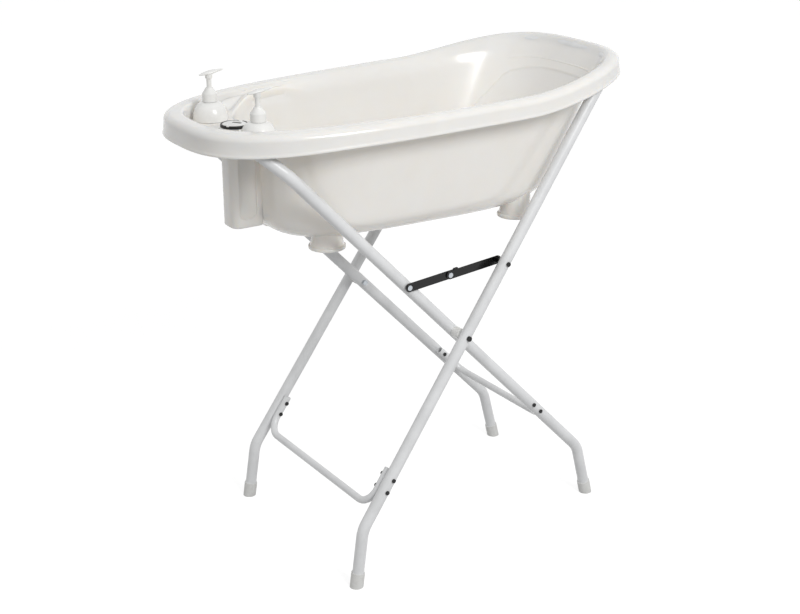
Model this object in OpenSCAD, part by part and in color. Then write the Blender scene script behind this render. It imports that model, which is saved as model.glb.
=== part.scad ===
// Baby bath tub on a folding cross-leg stand, with two pump dispensers and a lidded well.
// +X points to the head end, -Y to the front, +Z up. The origin is on the floor,
// under the middle of the tub. All sizes are in millimetres.

/* [Tub] */
// Length of the tub over its rolled lip
tub_l = 990; // [940:5:1040]
// Width of the tub over its lip at mid-length
tub_w = 508; // [490:2:530]
// Extra half-width of the lip at the head end
tub_taper = 18; // [6:1:24]
// Height of the rim above the floor at mid-length
rim_h = 982; // [940:1:1020]
// Rise of the rim towards the head end, per millimetre of length
rim_slope = 0.0242; // [0:0.001:0.04]
// Extra height of the raised head-end rim
head_rise = 40; // [20:1:55]
// Height of the hanging lip
lip_h = 38; // [30:1:46]
// Thickness of the moulded skin
skin = 3.5; // [3:0.1:4.5]
// Width of the rim's flat top
rim_top_w = 38; // [34:1:44]
// Depth of the foot-end shelf below the rim
shelf_drop = 31.5; // [24:0.5:34]
// Extra height of the hanging lip at the foot end
foot_hang = 5; // [0:0.5:7]
// Height of the tub's underside above the floor
tub_base_h = 731; // [710:1:750]
// Radius of the tub's bottom edge
base_r = 45; // [30:1:55]

/* [Tub feet and column] */
// Height of the moulded feet's undersides above the floor
tub_foot_h = 703; // [695:1:712]
// Diameter of a moulded foot
tub_foot_d = 68; // [55:1:76]
// Extra radius of the flange round a moulded foot
tub_foot_flange = 4; // [2:0.5:7]
// Distance of the foot-end feet from the tub's long centre line
tub_foot_y = 98; // [90:1:108]
// Distance of the head-end feet from the tub's long centre line
head_foot_y = 132; // [100:1:136]
// Width of the hollow column under the shelf
column_w = 56; // [50:1:60]
// Height of the column's underside above the floor
column_base_h = 748; // [735:1:780]

/* [Dispensers and lid] */
// Distance of the dispensers from the tub's long centre line
well_y = 102; // [90:1:106]
// Inner diameter of a dispenser well
well_d = 43; // [38:0.5:44]
// Depth of a dispenser well
well_depth = 30; // [20:1:34]
// Diameter of a dispenser's dome
dome_d = 70; // [64:1:72]
// Height of a dispenser's dome
dome_h = 37; // [32:1:40]
// Diameter of a dispenser's screw collar
collar_d = 30; // [28:0.5:34]
// Height of a dispenser's screw collar
collar_h = 28; // [24:1:32]
// Visible length of a pump stem
stem_l = 26; // [23:1:30]
// Diameter of a pump stem
stem_d = 10; // [8:0.5:11]
// Stroke of a pump head
pump_stroke = 14; // [8:1:14]
// Diameter of the lid over the column
lid_d = 48; // [46:1:50]
// Radial width of the lid's seal
seal_w = 3.5; // [2:0.5:4]
// Height of the lid's seat over the dispensers' seats
lid_rise = 7; // [5:0.5:9]

/* [Stand] */
// Outer diameter of the leg tubes
tube_d = 25; // [22:0.5:26]
// Wall of the leg tubes
tube_wall = 1.5; // [1:0.1:2]
// Height of the fold pivot above the floor
pivot_h = 497; // [480:1:515]
// Distance of the pivot from the tub's middle, towards the head end
pivot_x = 19; // [10:1:28]
// Lean of the inner frame's legs from vertical
lean_inner = 44.1; // [43:0.1:45]
// Lean of the outer frame's legs from vertical
lean_outer = 35; // [34:0.1:36]
// Half-width between the inner frame's leg axes
inner_y = 181.4; // [176:0.2:184]
// Half-width between the outer frame's leg axes at the pivot
outer_y = 228; // [226:0.2:232]
// Outward splay of the outer frame's legs, per millimetre down the leg
splay = 0.02; // [0.015:0.001:0.024]
// Distance from the pivot down to the inner frame's lower bends
inner_knee = 515; // [480:1:530]
// Distance from the pivot down to the outer frame's lower bends
outer_knee = 453; // [430:1:470]
// Lean of the inner frame's lower legs from vertical
lower_lean_inner = 14.9; // [10:0.1:20]
// Lean of the outer frame's lower legs from vertical
lower_lean_outer = 8.3; // [5:0.1:12]
// Bend radius of the leg tubes
bend_r = 65; // [55:1:70]
// Bend radius of the outer frame's hoop round the head end
hoop_r = 100; // [80:1:110]
// Outer diameter of a foot cap
cap_d = 29; // [28:0.5:32]
// Height of a foot cap
cap_h = 32; // [24:1:40]

/* [Crossbars] */
// Outer diameter of the crossbar tubes
bar_d = 16; // [14:0.5:18]
// Wall of the crossbar tubes
bar_wall = 1.2; // [1:0.1:1.6]
// Distance from the pivot down to the inner crossbar
inner_bar_down = 385; // [380:1:390]
// Distance from the pivot down to the outer crossbar
outer_bar_down = 405; // [403:1:415]
// Bend radius of the crossbars
bar_bend_r = 38; // [30:1:42]
// Length of the crossbars' arms, from the bar's axis
bar_arm = 88; // [82:1:95]
// Spacing of the two screws in a crossbar's arm
screw_gap = 28; // [22:1:32]
// Diameter of the crossbar screws
screw_d = 5; // [4:0.5:6]

/* [Pivots and braces] */
// Diameter of the main pivot bolts
bolt_d = 6; // [6:0.5:10]
// Diameter of the white spacers on the pivot bolts
spacer_d = 24; // [20:1:28]
// Distance from the pivot up to the brace's rivet on the inner frame
brace_inner_up = 171; // [160:1:180]
// Distance from the pivot up to the brace's bolt on the outer frame
brace_outer_up = 174; // [168:1:180]
// Share of the brace's length taken by its link on the inner frame
knuckle_share = 0.45; // [0.42:0.01:0.5]
// Width of the brace links
link_w = 18; // [14:1:20]
// Thickness of the brace links
link_t = 2.5; // [2:0.1:2.8]
// Diameter of the brace rivets
rivet_d = 6; // [5:0.5:7]

/* [Hidden] */

$fn = 48;
running = 0.05;        // radial clearance of a pin in its bore
seat_gap = 0.3;        // gap between pieces that rest on each other
over = 1;              // how far a cut runs past the face that it opens
front = -1;            // side of the front (-Y)
rear = 1;              // side of the rear (+Y)

// ---- Rim outline and heights ----
columns = 64;          // points round a ring of the tub
half_l = tub_l / 2;
half_w = tub_w / 2;
foot_power = 2.96;     // squareness of the lip's foot end
head_power = 3.11;     // squareness of the lip's head end
body_power = 3.5;      // squareness of the tub body's foot end
rise_start = 148;      // where the rim begins to rise
rise_run = half_l - 126;

function smooth(t) = let (u = min(max(t, 0), 1)) u * u * (3 - 2 * u);
function rim_z(x) = rim_h + rim_slope * x + head_rise * smooth((x - rise_start) / rise_run);
function bulge(c, power) = sign(c) * pow(abs(c), 2 / power);
function unit(v) = v / norm(v);

// A point of a rounded rectangle, with its own foot length, head length and half-width
function plan_x(a, foot, head, power) =
    a > 90 && a < 270 ? foot * bulge(cos(a), power) : head * bulge(cos(a), head_power);
function plan_y(a, x, w, power) =
    (w + tub_taper * x / half_l) * bulge(sin(a), a > 90 && a < 270 ? power : head_power);

// A ring of the lip, grown outwards by grow and lying dz above the rim's height, with its
// foot end hanging lower by hang
function lip_ring(grow, dz, hang = 0) = [
    for (i = [0 : columns - 1])
        let (a = 360 * i / columns, x = plan_x(a, half_l + grow, half_l + grow, foot_power))
        [x, plan_y(a, x, half_w + grow, foot_power), rim_z(x) + dz - hang * smooth(-(x + 200) / 240)]
];

// A ring that follows the recess inside the rim, which is deeper at the foot-end shelf
side_drop = 10;
function drop(x) = side_drop + (shelf_drop - side_drop) * smooth(-(x + 240) / 80);
function shelf_ring(inset, dz) = [for (p = lip_ring(-inset, dz)) [p.x, p.y, p.z - drop(p.x)]];

// ---- Tub body: its outline grows from the base to the rim ----
wall_top = 0.88;       // share of the height where the straight wall ends in a flare
wall_drop = 12;        // from the rim down to the top of the walls
base_foot = 337;       // length of the base towards the foot end
base_head = 308;       // and towards the head end
base_half_w = 176;
body_foot = 345;       // length of the body under the shelf, towards the foot end
flare = rim_top_w - skin;
body_half_w = half_w - flare;
body_head = half_l - flare;
mid_half_w = body_half_w - 12.5;
mid_head = body_head - 15;

function grow_to(f, low, mid, high) =
    low + (mid - low) * min(f / wall_top, 1) + (high - mid) * smooth((f - wall_top) / (1 - wall_top));

// A ring of the body at share f of its height, drawn in by inset, with its base at base_z
function body_ring(f, inset, base_z, lift = 0) = [
    for (i = [0 : columns - 1])
        let (
            a = 360 * i / columns,
            x = plan_x(a, grow_to(f, base_foot, (base_foot + body_foot) / 2, body_foot) - inset,
                grow_to(f, base_head, mid_head, body_head) - inset, body_power),
            y = plan_y(a, x, grow_to(f, base_half_w, mid_half_w, body_half_w) - inset, body_power)
        )
        [x, y, base_z + f * (rim_z(x) - wall_drop - base_z) + lift]
];

// The rings of the body, or of the cavity in it when inset is the skin
function body_rings(inset, base_z, corner) = concat(
    [for (a = [0 : 18 : 72]) body_ring(corner * (1 - cos(a)) / (rim_h - base_z),
        inset + corner * (1 - sin(a)), base_z)],
    [for (f = [0.2, 0.45, 0.7, 0.88, 0.93, 0.97, 1]) body_ring(f, inset, base_z)]
);

// A closed solid through a stack of rings, from the lowest to the highest
module loft(rings) {
    n = len(rings[0]);
    top = len(rings) - 1;
    points = concat([for (r = rings) each r], [mean(rings[0]), mean(rings[top])]);
    foot = n * (top + 1);
    sides = [
        for (j = [0 : top - 1], i = [0 : n - 1])
            let (a = j * n + i, b = j * n + (i + 1) % n, c = b + n, d = a + n)
            each [[a, d, c], [a, c, b]]
    ];
    base = [for (i = [0 : n - 1]) [foot, i, (i + 1) % n]];
    lid = [for (i = [0 : n - 1]) [foot + 1, top * n + (i + 1) % n, top * n + i]];
    polyhedron(points, concat(sides, base, lid));
}
function mean(ring) = [for (k = [0 : 2]) total([for (p = ring) p[k]]) / len(ring)];
function total(list, i = 0) = i < len(list) ? list[i] + total(list, i + 1) : 0;

// ---- Foot-end shelf: the two wells and the column's mouth ----
well_x = -half_l + 116;
column_face = half_l - 93;     // distance of the column's outer face from the middle
column_root = body_foot - 6;   // where the column meets the body
mouth_x = -half_l + 117;
mouth_d = lid_d - 8;
seat_z = rim_z(well_x) - shelf_drop + 1.2;     // top of the dispensers' raised seats
seat_h = 4;
lid_seat_z = seat_z + lid_rise;
cup_wall = 2.5;

// ---- Tub ----
shelf_insets = [62, 100, 140, 180, 220];       // rings that keep the shelf level with the rim
module rim_cap() {
    flare_z = 9 - lip_h;       // where the lip begins to flare out towards its bottom edge
    difference() {
        loft([lip_ring(3.4, -lip_h, foot_hang), lip_ring(1.8, flare_z, foot_hang), lip_ring(0.4, -16),
            lip_ring(-1.4, -9), lip_ring(-5, -3.6), lip_ring(-10, -0.8), lip_ring(-16, 0),
            lip_ring(-rim_top_w - 20, 0)]);
        loft([lip_ring(3.4 - skin, -lip_h - 8, foot_hang), lip_ring(1.8 - skin, flare_z, foot_hang),
            lip_ring(0.4 - skin, -16), lip_ring(-1.2 - skin, -10.2), lip_ring(-3.9 - skin, -6.4),
            lip_ring(-7.5 - skin, -4.1), lip_ring(-16, -skin), lip_ring(skin - rim_top_w, -skin),
            shelf_ring(rim_top_w - 1, -skin), for (inset = shelf_insets) shelf_ring(inset, -skin)]);
    }
}

module rim_recess() {
    floor_rings = [for (i = [len(shelf_insets) - 1 : -1 : 0]) shelf_ring(shelf_insets[i], 0)];
    loft([each floor_rings, shelf_ring(rim_top_w + 8, 0), shelf_ring(rim_top_w + 3.5, 1.2),
        shelf_ring(rim_top_w + 2, 4), lip_ring(-rim_top_w + 0.8, -3.5),
        lip_ring(-rim_top_w + 2, -0.9), lip_ring(-rim_top_w + 5, 0.2), lip_ring(-rim_top_w + 5, 6)]);
}

module tub_body() {
    rings = body_rings(0, tub_base_h, base_r);
    loft(concat(rings, [body_ring(1, 0, tub_base_h, wall_drop - 3)]));
}

module tub_cavity() {
    rings = body_rings(skin, tub_base_h + skin, base_r - skin);
    loft(concat(rings, [body_ring(1, skin, tub_base_h + skin, wall_drop - 6)]));
}

// The hollow column, drawn in by inset, from z_low to z_high
module column_block(inset, z_low, z_high) {
    corner = 18;
    reach = column_face - column_root - 2 * inset;
    translate([-column_face + inset, -column_w / 2 + inset, z_low])
        hull()
            for (x = [corner, reach + 20 - corner], y = [corner, column_w - 2 * inset - corner])
                translate([x, y, 0]) cylinder(h = z_high - z_low, r = corner, $fn = 32);
}

// The arched channel pressed into one face of the column
module column_channel(side) {
    channel_w = 42;
    channel_depth = 3;
    channel_top = 920;
    translate([-column_face + 33, side * (column_w / 2 + channel_depth), 0])
        hull() {
            translate([0, 0, channel_top]) rotate([90, 0, 0])
                cylinder(h = 4 * channel_depth, d = channel_w, center = true, $fn = 32);
            translate([0, 0, column_base_h + 30]) rotate([90, 0, 0])
                cylinder(h = 4 * channel_depth, d = channel_w, center = true, $fn = 32);
        }
}

tub_feet = [[-232, tub_foot_y], [214, head_foot_y]];
module tub_foot(at, side) {
    flange_h = 6;
    translate([at.x, side * at.y, tub_foot_h]) {
        cylinder(h = flange_h, d = tub_foot_d + 2 * tub_foot_flange);
        hull() {
            translate([0, 0, flange_h]) cylinder(h = 1, d = tub_foot_d, $fn = 32);
            translate([-at.x / 40, -4 * side, tub_base_h - tub_foot_h + base_r])
                cylinder(h = 1, d = tub_foot_d - 8, $fn = 32);
        }
    }
}

module well_cup(side) {
    translate([well_x, side * well_y, seat_z - well_depth - cup_wall])
        cylinder(h = well_depth + cup_wall, d = well_d + 2 * cup_wall);
    translate([well_x, side * well_y, seat_z - seat_h]) cylinder(h = seat_h, d = dome_d + 2);
}

module bath_tub() {
    color("ivory")
    difference() {
        union() {
            difference() {
                union() {
                    rim_cap();
                    tub_body();
                }
                rim_recess();
            }
            difference() {
                column_block(0, column_base_h, seat_z - 2);
                for (side = [front, rear]) column_channel(side);
            }
            translate([mouth_x, 0, seat_z - seat_h])
                cylinder(h = seat_h + lid_rise, d = lid_d + 2 * seal_w + 2);
            for (side = [front, rear]) {
                well_cup(side);
                for (at = tub_feet) tub_foot(at, side);
            }
        }
        tub_cavity();
        column_bore();
        for (side = [front, rear])
            translate([well_x, side * well_y, seat_z - well_depth]) cylinder(h = 60, d = well_d);
    }
}

// The column's inside: a long shaft with a round mouth
module column_bore() {
    bore_wall = 6;
    reach = column_face - body_foot - bore_wall - skin;
    translate([mouth_x, 0, seat_z - 20]) cylinder(h = 60, d = mouth_d);
    translate([-column_face + bore_wall, -column_w / 2 + bore_wall + skin, column_base_h + skin])
        cube([reach, column_w - 2 * bore_wall - 2 * skin, seat_z - 15 - column_base_h]);
}

// ---- Lid ----
lid_h = 6;
lug_t = 1.8;
lug_w = 8;
lug_angle = 33;                        // the lid's lugs and finger slot are turned by this
slot_size = [8, 22, 3];
slot_off = 9;                          // from the lid's middle to its finger slot

module well_lid() {
    skirt_h = 12;
    color("white")
    translate([mouth_x, 0, lid_seat_z + seat_gap])
        difference() {
            union() {
                rotate_extrude() polygon([[0, 0], [lid_d / 2, 0], [lid_d / 2, lid_h - 1],
                    [lid_d / 2 - 1, lid_h], [0, lid_h]]);
                translate([0, 0, -skirt_h]) cylinder(h = skirt_h + 1, d = mouth_d - 1);
                rotate([0, 0, lug_angle])
                    translate([-lid_d / 2 - seal_w, -lug_w / 2, lid_h - lug_t])
                        cube([lid_d + 2 * seal_w, lug_w, lug_t]);
            }
            translate([0, 0, -skirt_h - over]) cylinder(h = skirt_h + over, d = mouth_d - 5);
            rotate([0, 0, lug_angle])
                translate([slot_off - slot_size.x / 2, -slot_size.y / 2, lid_h - slot_size.z])
                    cube(slot_size + [0, 0, over]);
        }
}

// The rubber round the lid, notched for its lugs, and the rubber pad in its finger slot
module lid_seal() {
    ring_h = lid_h - 0.2;
    pad = slot_size - [0.2, 0.2, 0.8];
    color("black")
    translate([mouth_x, 0, lid_seat_z + seat_gap]) {
        difference() {
            rotate_extrude() translate([lid_d / 2 + 0.1, 0]) square([seal_w, ring_h]);
            rotate([0, 0, lug_angle])
                translate([-lid_d, -lug_w / 2 - 0.1, lid_h - lug_t - 0.1])
                    cube([2 * lid_d, lug_w + 0.2, lug_t + over]);
        }
        rotate([0, 0, lug_angle])
            translate([slot_off - pad.x / 2, -pad.y / 2, lid_h - slot_size.z + 0.05])
                cube(pad);
    }
}

// ---- Dispensers ----
neck_d = collar_d - 6;
bottle_wall = 1.8;
bottle_z = seat_z + seat_gap;
neck_z = bottle_z + dome_h;            // where the dome ends and the neck begins
collar_top = neck_z + collar_h;
band_h = 0.6 * collar_h;               // height of the collar's straight band
neck_h = band_h - 1;
chamber_d = 15.5;
reservoir_d = well_d - 1;
reservoir_depth = well_depth - 1;

module at_well(side, z) {
    translate([well_x, side * well_y, z]) children();
}

// Half-outline of the bottle: a reservoir in the well, a dome on the shelf and a neck
function bottle_outline(t) = concat(
    [[0, t - reservoir_depth], [reservoir_d / 2 - t, t - reservoir_depth],
        [reservoir_d / 2 - t, t], [dome_d / 2 - 1.2 * t, t]],
    [for (a = [0 : 15 : 75]) [(neck_d / 2 + (dome_d - neck_d) / 2 * cos(a)) - 1.2 * t,
        2 + (dome_h - 2) * sin(a) - t * sin(a)]],
    [[neck_d / 2 - t, dome_h - t]]
);

module dispenser_bottle(side) {
    color("white")
    at_well(side, bottle_z)
        difference() {
            union() {
                rotate_extrude() polygon(concat(bottle_outline(0), [[0, dome_h]]));
                cylinder(h = dome_h + neck_h, d = neck_d);
            }
            rotate_extrude()
                polygon(concat(bottle_outline(bottle_wall), [[0, dome_h - bottle_wall]]));
            cylinder(h = dome_h + neck_h + over, d = neck_d - 2 * bottle_wall);
        }
}

module dispenser_collar(side) {
    tip_r = 7.5;
    color("white")
    at_well(side, neck_z + seat_gap)
        difference() {
            rotate_extrude() polygon([[0, 0], [collar_d / 2, 0], [collar_d / 2, band_h],
                [tip_r, collar_h - seat_gap], [0, collar_h - seat_gap]]);
            translate([0, 0, -over]) cylinder(h = band_h + 1 + over, d = neck_d + 0.4);
            cylinder(h = collar_h + over, d = stem_d + 1);
        }
}

module pump_chamber(side) {
    flange_t = 1.5;
    chamber_l = pump_stroke + 16;
    tube_l = 18;
    color("whitesmoke")
    at_well(side, neck_z + neck_h)
        difference() {
            union() {
                translate([0, 0, 0.1]) cylinder(h = flange_t, d = neck_d - 0.4);
                translate([0, 0, -chamber_l]) cylinder(h = chamber_l + flange_t, d = chamber_d);
                translate([0, 0, -chamber_l - tube_l]) cylinder(h = tube_l + over, d = 5);
            }
            translate([0, 0, -chamber_l + 2]) cylinder(h = chamber_l + 5, d = stem_d + 2);
            translate([0, 0, -chamber_l - tube_l - over]) cylinder(h = chamber_l, d = 3);
        }
}

head_back = 20;                        // reach of a pump's head behind the stem
nozzle_reach = 32;                     // reach of the nozzle past the stem
head_w = 18;
head_tilt = 8;                         // rise of a pump's head towards its nozzle, in degrees
// Leaf-shaped outline of a pump's head, narrowing towards the nozzle
leaf = [for (a = [0 : 12 : 348]) [(cos(a) > 0 ? nozzle_reach : head_back) * cos(a),
    head_w / 2 * sin(a) * (1 - 0.55 * max(cos(a), 0))]];

module pump_head(side) {
    head_h = 7;
    skirt_h = 8;
    bore_d = 3;
    bore_l = 20;
    stem_in = collar_h - neck_h + 8;   // how far the stem reaches down through the collar
    color("white")
    at_well(side, collar_top) {
        difference() {
            union() {
                translate([0, 0, -stem_in]) cylinder(h = stem_l + stem_in + 2, d = stem_d);
                translate([0, 0, stem_l - skirt_h]) cylinder(h = skirt_h + 3, d = stem_d + 5);
                translate([0, 0, stem_l]) rotate([0, -head_tilt, 0])
                    linear_extrude(head_h) polygon(leaf);
            }
            translate([0, 0, stem_l]) rotate([0, -head_tilt, 0])
                translate([nozzle_reach - bore_l, 0, head_h / 2])
                    rotate([0, 90, 0]) cylinder(h = bore_l + over, d = bore_d);
        }
    }
}

// ---- Tubes bent through corners ----
module stretch(from, to, r) {
    along = to - from;
    translate(from)
        rotate([0, acos(along.z / norm(along)), atan2(along.y, along.x)])
            cylinder(h = norm(along), r = r);
}

function turn(path, i) = acos(unit(path[i] - path[i - 1]) * unit(path[i + 1] - path[i]));
function setback(path, i, radii) = radii[i] * tan(turn(path, i) / 2);
function bend_in(path, i, radii) = path[i] - unit(path[i] - path[i - 1]) * setback(path, i, radii);
function bend_out(path, i, radii) = path[i] + unit(path[i + 1] - path[i]) * setback(path, i, radii);

module bend(path, i, radii, r) {
    u = unit(path[i] - path[i - 1]);
    v = unit(path[i + 1] - path[i]);
    inwards = unit(v - (u * v) * u);
    z_dir = cross(-inwards, u);
    centre = bend_in(path, i, radii) + radii[i] * inwards;
    multmatrix([[-inwards.x, u.x, z_dir.x, centre.x], [-inwards.y, u.y, z_dir.y, centre.y],
        [-inwards.z, u.z, z_dir.z, centre.z]])
        rotate_extrude(angle = turn(path, i)) translate([radii[i], 0]) circle(r = r);
}

// A round bar along path, bent at each inner corner with that corner's radius. The bends are
// a trace thicker, and the straight lengths reach a little way into them.
module bent_bar(path, radii, r, past = 0) {
    last = len(path) - 1;
    lap = 1;
    swell = 0.05;
    for (i = [0 : last - 1]) {
        along = unit(path[i + 1] - path[i]);
        start = i == 0 ? path[0] - past * along : bend_out(path, i, radii) - lap * along;
        end = i == last - 1 ? path[last] + past * along : bend_in(path, i + 1, radii) + lap * along;
        stretch(start, end, r);
    }
    for (i = [1 : last - 1]) bend(path, i, radii, r + swell);
}

module bent_tube(path, radii, d, wall) {
    difference() {
        bent_bar(path, radii, d / 2);
        bent_bar(path, radii, d / 2 - wall, over);
    }
}

function flip(p) = [p.x, -p.y, p.z];
function both_sides(half) = concat(half, [for (i = [len(half) - 1 : -1 : 0]) flip(half[i])]);
function there_and_back(half) = concat(half, [for (i = [len(half) - 1 : -1 : 0]) half[i]]);

// ---- Places on the legs, at a distance up (or down, if negative) from the pivot ----
function inner_at(up, y = inner_y) =
    [pivot_x - up * sin(lean_inner), y, pivot_h + up * cos(lean_inner)];
function outer_at(up) = [pivot_x + up * sin(lean_outer), outer_y - splay * up,
    pivot_h + up * cos(lean_outer)];
function outer_rise(z) = (z - pivot_h) / cos(lean_outer);

tube_r = tube_d / 2;
tube_lift = 5;                 // height of the leg tubes' ends above the floor
inner_knee_at = inner_at(-inner_knee);
outer_knee_at = outer_at(-outer_knee);
function inner_low(z) = [inner_knee_at.x + (inner_knee_at.z - z) * tan(lower_lean_inner),
    inner_y, z];
function outer_low(z) = [outer_knee_at.x - (outer_knee_at.z - z) * tan(lower_lean_outer),
    outer_knee_at.y + splay * (outer_knee_at.z - z), z];

// Each frame ends in a hoop that runs round one end of the tub inside its lip. A corner of a
// hoop lies inside the lip's outline, at an angle of that outline.
hoop_inset = 19.5;             // from the lip's outer face to a hoop's axis
hoop_drop = skin + tube_r + 0.6;
corner_in = 10;                // how far a hoop's corner lies inside the outline
function hoop_at(x, y) = [x, y, rim_z(x) - hoop_drop];
function hoop_corner(a, power) =
    let (x = plan_x(a, half_l, half_l, power), y = plan_y(a, x, half_w, power))
    hoop_at(x - sign(x) * corner_in, y - corner_in);

foot_root_z = rim_z(-half_l) - 82;
foot_root = inner_at((foot_root_z - pivot_h) / cos(lean_inner));
foot_front = hoop_at(hoop_inset - half_l, half_w * 0.275);
inner_path = both_sides([inner_low(tube_lift), inner_knee_at, foot_root,
    hoop_corner(148, foot_power), foot_front]);
inner_radii = there_and_back([0, bend_r, bend_r - 15, 80, 150]);

head_root_z = rim_z(outer_at(outer_rise(rim_h)).x) - 31;
head_root = outer_at(outer_rise(head_root_z));
head_front = hoop_at(half_l - hoop_inset, half_w * 0.34);
outer_path = both_sides([outer_low(tube_lift), outer_knee_at, head_root,
    hoop_corner(35, head_power), head_front]);
outer_radii = there_and_back([0, bend_r, bend_r - 5, hoop_r, hoop_r]);

module cross_hole(at, d) {
    translate([at.x, 0, at.z]) rotate([90, 0, 0])
        cylinder(h = 2 * (outer_y + 60), d = d, center = true);
}

// ---- Crossbars: a bar with an arm up each leg, held by two screws in each arm ----
bar_r = bar_d / 2;
touch = 0.2;                   // gap between a crossbar's arm and its leg
inner_arm_y = inner_y - tube_r - bar_r - touch;
function outer_arm_at(up) = let (p = outer_at(up)) [p.x, p.y - tube_r - bar_r - touch, p.z];
inner_bar_path = both_sides([inner_at(bar_arm - inner_bar_down, inner_arm_y),
    inner_at(-inner_bar_down, inner_arm_y)]);
outer_bar_path = both_sides([outer_arm_at(bar_arm - outer_bar_down),
    outer_arm_at(-outer_bar_down)]);
bar_radii = there_and_back([0, bar_bend_r]);
function inner_screw_up(i) = bar_arm - inner_bar_down - 15 - i * screw_gap;
function outer_screw_up(i) = bar_arm - outer_bar_down - 15 - i * screw_gap;

module inner_frame_tube() {
    color("white")
    difference() {
        bent_tube(inner_path, inner_radii, tube_d, tube_wall);
        cross_hole(inner_at(0), bolt_d + 2 * running);
        cross_hole(inner_at(brace_inner_up), rivet_d + 2 * running);
        for (i = [0, 1]) cross_hole(inner_at(inner_screw_up(i)), screw_d + 2 * running);
    }
}

module outer_frame_tube() {
    color("white")
    difference() {
        bent_tube(outer_path, outer_radii, tube_d, tube_wall);
        cross_hole(outer_at(0), bolt_d + 2 * running);
        cross_hole(outer_at(brace_outer_up), rivet_d + 2 * running);
        for (i = [0, 1]) cross_hole(outer_at(outer_screw_up(i)), screw_d + 2 * running);
    }
}

module inner_crossbar() {
    color("white")
    difference() {
        bent_tube(inner_bar_path, bar_radii, bar_d, bar_wall);
        for (i = [0, 1]) cross_hole(inner_at(inner_screw_up(i)), screw_d + 2 * running);
    }
}

module outer_crossbar() {
    color("white")
    difference() {
        bent_tube(outer_bar_path, bar_radii, bar_d, bar_wall);
        for (i = [0, 1]) cross_hole(outer_at(outer_screw_up(i)), screw_d + 2 * running);
    }
}

// A pin along Y on one side, from y_in to y_out, with a head of its own at either end
module side_pin(at, side, y_in, y_out, d, head_d, head_out, head_in) {
    translate([at.x, 0, at.z]) rotate([-90 * side, 0, 0]) {
        translate([0, 0, y_in]) cylinder(h = y_out - y_in, d = d);
        if (head_out > 0) translate([0, 0, y_out]) cylinder(h = head_out, d = head_d);
        if (head_in > 0) translate([0, 0, y_in - head_in]) cylinder(h = head_in, d = head_d);
    }
}

screw_head_d = screw_d + 4;
screw_head_t = 2.2;

module inner_crossbar_screws() {
    color("silver")
    for (side = [front, rear], i = [0, 1])
        side_pin(inner_at(inner_screw_up(i)), side, inner_arm_y - bar_r - touch,
            inner_y + tube_r + touch, screw_d, screw_head_d, screw_head_t, screw_head_t);
}

module outer_crossbar_screws() {
    color("silver")
    for (side = [front, rear], i = [0, 1]) {
        up = outer_screw_up(i);
        side_pin(outer_at(up), side, outer_arm_at(up).y - bar_r - 2 * touch,
            outer_at(up).y + tube_r + 2 * touch, screw_d, screw_head_d, screw_head_t, screw_head_t);
    }
}

// ---- Foot caps: a sleeve along the lower leg, cut flat on the floor ----
module foot_cap(low, high, side) {
    axis = high - low;
    base_t = 3;
    color("dimgray")
    scale([1, side, 1])
    difference() {
        translate(low - 12 * unit(axis))
            rotate([0, acos(axis.z / norm(axis)), atan2(axis.y, axis.x)])
                cylinder(h = cap_h + 12, d = cap_d);
        translate(low + (tube_lift - base_t / 4) * unit(axis))
            rotate([0, acos(axis.z / norm(axis)), atan2(axis.y, axis.x)])
                cylinder(h = cap_h + 12, d = tube_d + 0.2);
        translate([low.x - 50, low.y - 50, -50]) cube([100, 100, 50]);
    }
}

module inner_foot_cap(side) { foot_cap(inner_low(0), inner_low(60), side); }
module outer_foot_cap(side) { foot_cap(outer_low(0), outer_low(60), side); }

// ---- Main pivot ----
inner_face = inner_y + tube_r;         // outer face of an inner leg
outer_face = outer_y - tube_r;         // inner face of an outer leg, at the pivot
head_t = 4;
nut_t = 7;

module pivot_bolt(side) {
    color("silver")
    side_pin(inner_at(0), side, inner_y - tube_r - seat_gap - nut_t + 1, outer_y + tube_r + touch,
        bolt_d, bolt_d + 5, head_t, 0);
}

module pivot_spacer(side) {
    color("white")
    translate([pivot_x, 0, pivot_h]) rotate([-90 * side, 0, 0])
        translate([0, 0, inner_face + seat_gap])
            difference() {
                cylinder(h = outer_face - inner_face - 2 * seat_gap, d = spacer_d);
                translate([0, 0, -over]) cylinder(h = 60, d = bolt_d + 2 * running);
            }
}

module pivot_nut(side) {
    color("silver")
    translate([pivot_x, 0, pivot_h]) rotate([-90 * side, 0, 0])
        translate([0, 0, inner_y - tube_r - seat_gap - nut_t])
            difference() {
                cylinder(h = nut_t, d = bolt_d + 6, $fn = 6);
                translate([0, 0, 0.8]) cylinder(h = nut_t + over, d = bolt_d + 2 * running);
            }
}

// ---- Braces: two links on each side, straight when the stand is open ----
brace_low = inner_at(brace_inner_up);
brace_high = outer_at(brace_outer_up);
brace_flat = [brace_high.x - brace_low.x, 0, brace_high.z - brace_low.z];
brace_dir = unit(brace_flat);
brace_l = norm(brace_flat);
brace_tilt = atan2(brace_dir.z, brace_dir.x);
knuckle_l = knuckle_share * brace_l;
knuckle = brace_low + knuckle_l * brace_dir;
rivet_head_t = 1.5;
rivet_head_d = rivet_d + 5;
short_y = inner_face + seat_gap + rivet_head_t + 0.2;  // inner face of the short link
long_y = short_y + link_t + 0.2;                       // inner face of the long link
bush_d = 12;
bush_end = brace_high.y - tube_r - 0.95;               // end of the bush at the outer leg
stop_reach = 20;               // how far the short link's stop lies past the knuckle

// Puts a shape drawn in a link's own plane onto one side: +X along the brace, +Z outwards
module on_brace(side, at, y) {
    scale([1, side, 1])
        translate([at.x, y, at.z]) rotate([0, -brace_tilt, 0]) rotate([-90, 0, 0])
            children();
}

// A flat link with round ends from x = 0 to x = l
module link_plate(l) {
    cylinder(h = link_t, d = link_w);
    translate([l, 0, 0]) cylinder(h = link_t, d = link_w);
    translate([0, -link_w / 2, 0]) cube([l, link_w, link_t]);
}

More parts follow.
